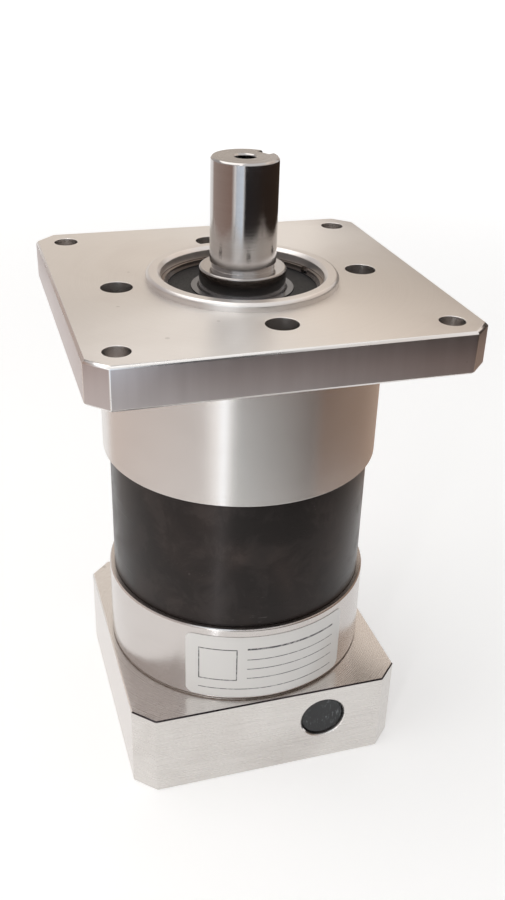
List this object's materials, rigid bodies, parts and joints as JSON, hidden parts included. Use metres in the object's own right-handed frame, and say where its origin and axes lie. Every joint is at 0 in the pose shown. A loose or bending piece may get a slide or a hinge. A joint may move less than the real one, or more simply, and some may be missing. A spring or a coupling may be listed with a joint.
{
  "type": "inline gear reducer",
  "caption": "Two-stage inline planetary gear reducer: square output flange with pilot and keyed shaft, black ring gear body, round input housing and square motor adapter with clamping hub.",
  "frame": {"origin": "centre of the motor face, on which the reducer stands", "axes": "+Z along the gear axis towards the output shaft; +X and +Y along the sides of the square flange; the clamp screw's access plug is on the -Y side"},
  "size_m": [0.1068, 0.1068, 0.1851],
  "materials": {
    "cast_aluminium": "satin turned and machined",
    "milled_aluminium": "fine milled",
    "blackened_steel": "black oxide, semi-gloss",
    "bearing_steel": "ground",
    "brass": "satin",
    "black_rubber": "matte",
    "ground_steel": "ground and turned",
    "gear_steel": "ground teeth",
    "bronze": "satin",
    "label_film": "satin film"
  },
  "bodies": {
    "housing": {"output_housing": "cast_aluminium", "ring_gear": "blackened_steel", "input_housing": "cast_aluminium", "motor_adapter": "milled_aluminium", "front_bearing_outer_race": "bearing_steel", "front_bearing_shields": "black_rubber", "rear_bearing_outer_race": "bearing_steel", "rear_bearing_shields": "black_rubber", "input_bearing_outer_race": "bearing_steel", "input_bearing_shields": "black_rubber", "front_snap_ring": "blackened_steel", "rear_bearing_circlip": "blackened_steel", "input_bearing_circlip": "blackened_steel", "input_seal": "black_rubber", "output_joint_oring": "black_rubber", "input_joint_oring": "black_rubber", "housing_screws": "blackened_steel", "ring_screws": "blackened_steel", "adapter_screws": "blackened_steel", "rating_label": "label_film", "carrier_wear_disc": "bronze"},
    "output": {"output_shaft": "ground_steel", "stage2_planet_pins": "ground_steel", "stage2_thrust_washers": "bronze", "front_bearing_inner_race": "bearing_steel", "rear_bearing_inner_race": "bearing_steel", "shaft_circlip": "blackened_steel"},
    "front_cage": {"front_bearing_balls": "bearing_steel", "front_bearing_cage": "brass"},
    "rear_cage": {"rear_bearing_balls": "bearing_steel", "rear_bearing_cage": "brass"},
    "input_carrier": {"stage1_carrier": "ground_steel", "stage2_sun_gear": "gear_steel", "stage1_planet_pins": "ground_steel", "stage1_thrust_washers": "bronze"},
    "input": {"input_hub": "ground_steel", "stage1_sun_gear": "gear_steel", "clamp_collar": "ground_steel", "clamp_screw": "blackened_steel", "input_bearing_inner_race": "bearing_steel", "hub_circlip": "blackened_steel"},
    "input_cage": {"input_bearing_balls": "bearing_steel", "input_bearing_cage": "brass"},
    "plug": {"access_plug": "black_rubber"},
    "output_planet_1": {"stage2_planet_gear_1": "gear_steel", "stage2_planet_bush_1": "brass"},
    "input_planet_1": {"stage1_planet_gear_1": "gear_steel", "stage1_planet_bush_1": "brass"},
    "output_planet_2": {"stage2_planet_gear_2": "gear_steel", "stage2_planet_bush_2": "brass"},
    "input_planet_2": {"stage1_planet_gear_2": "gear_steel", "stage1_planet_bush_2": "brass"},
    "output_planet_3": {"stage2_planet_gear_3": "gear_steel", "stage2_planet_bush_3": "brass"},
    "input_planet_3": {"stage1_planet_gear_3": "gear_steel", "stage1_planet_bush_3": "brass"}
  },
  "joints": [
    {"name": "output_spin", "type": "hinge", "parent": "housing", "child": "output", "pos_m": [0, 0, 0.12], "axis": [0, 0, 1], "continuous": true},
    {"name": "front_cage_spin", "type": "hinge", "parent": "housing", "child": "front_cage", "pos_m": [0, 0, 0.1425], "axis": [0, 0, 1], "continuous": true},
    {"name": "rear_cage_spin", "type": "hinge", "parent": "housing", "child": "rear_cage", "pos_m": [0, 0, 0.1135], "axis": [0, 0, 1], "continuous": true},
    {"name": "input_carrier_spin", "type": "hinge", "parent": "housing", "child": "input_carrier", "pos_m": [0, 0, 0.066], "axis": [0, 0, 1], "continuous": true},
    {"name": "input_spin", "type": "hinge", "parent": "housing", "child": "input", "pos_m": [0, 0, 0.03], "axis": [0, 0, 1], "continuous": true},
    {"name": "input_cage_spin", "type": "hinge", "parent": "housing", "child": "input_cage", "pos_m": [0, 0, 0.0445], "axis": [0, 0, 1], "continuous": true},
    {"name": "plug_pull", "type": "slide", "parent": "housing", "child": "plug", "axis": [0, -1, 0], "range_m": [0, 0.03]},
    {"name": "output_planet_1_spin", "type": "hinge", "parent": "output", "child": "output_planet_1", "pos_m": [0.0192, 0, 0.088], "axis": [0, 0, 1], "continuous": true},
    {"name": "output_planet_2_spin", "type": "hinge", "parent": "output", "child": "output_planet_2", "pos_m": [-0.0096, 0.01663, 0.088], "axis": [0, 0, 1], "continuous": true},
    {"name": "output_planet_3_spin", "type": "hinge", "parent": "output", "child": "output_planet_3", "pos_m": [-0.0096, -0.01663, 0.088], "axis": [0, 0, 1], "continuous": true},
    {"name": "input_planet_1_spin", "type": "hinge", "parent": "input_carrier", "child": "input_planet_1", "pos_m": [0.018, 0, 0.0659], "axis": [0, 0, 1], "continuous": true},
    {"name": "input_planet_2_spin", "type": "hinge", "parent": "input_carrier", "child": "input_planet_2", "pos_m": [-0.009, 0.01559, 0.0659], "axis": [0, 0, 1], "continuous": true},
    {"name": "input_planet_3_spin", "type": "hinge", "parent": "input_carrier", "child": "input_planet_3", "pos_m": [-0.009, -0.01559, 0.0659], "axis": [0, 0, 1], "continuous": true}
  ],
  "couplings": [
    {"joint": "input_carrier_spin", "follows": "output_spin", "ratio": 4},
    {"joint": "input_spin", "follows": "output_spin", "ratio": 20},
    {"joint": "front_cage_spin", "follows": "output_spin", "ratio": 0.4118},
    {"joint": "rear_cage_spin", "follows": "output_spin", "ratio": 0.416},
    {"joint": "input_cage_spin", "follows": "output_spin", "ratio": 8.32},
    {"joint": "output_planet_1_spin", "follows": "output_spin", "ratio": -3},
    {"joint": "output_planet_2_spin", "follows": "output_spin", "ratio": -3},
    {"joint": "output_planet_3_spin", "follows": "output_spin", "ratio": -3},
    {"joint": "input_planet_1_spin", "follows": "output_spin", "ratio": -10.667},
    {"joint": "input_planet_2_spin", "follows": "output_spin", "ratio": -10.667},
    {"joint": "input_planet_3_spin", "follows": "output_spin", "ratio": -10.667}
  ]
}
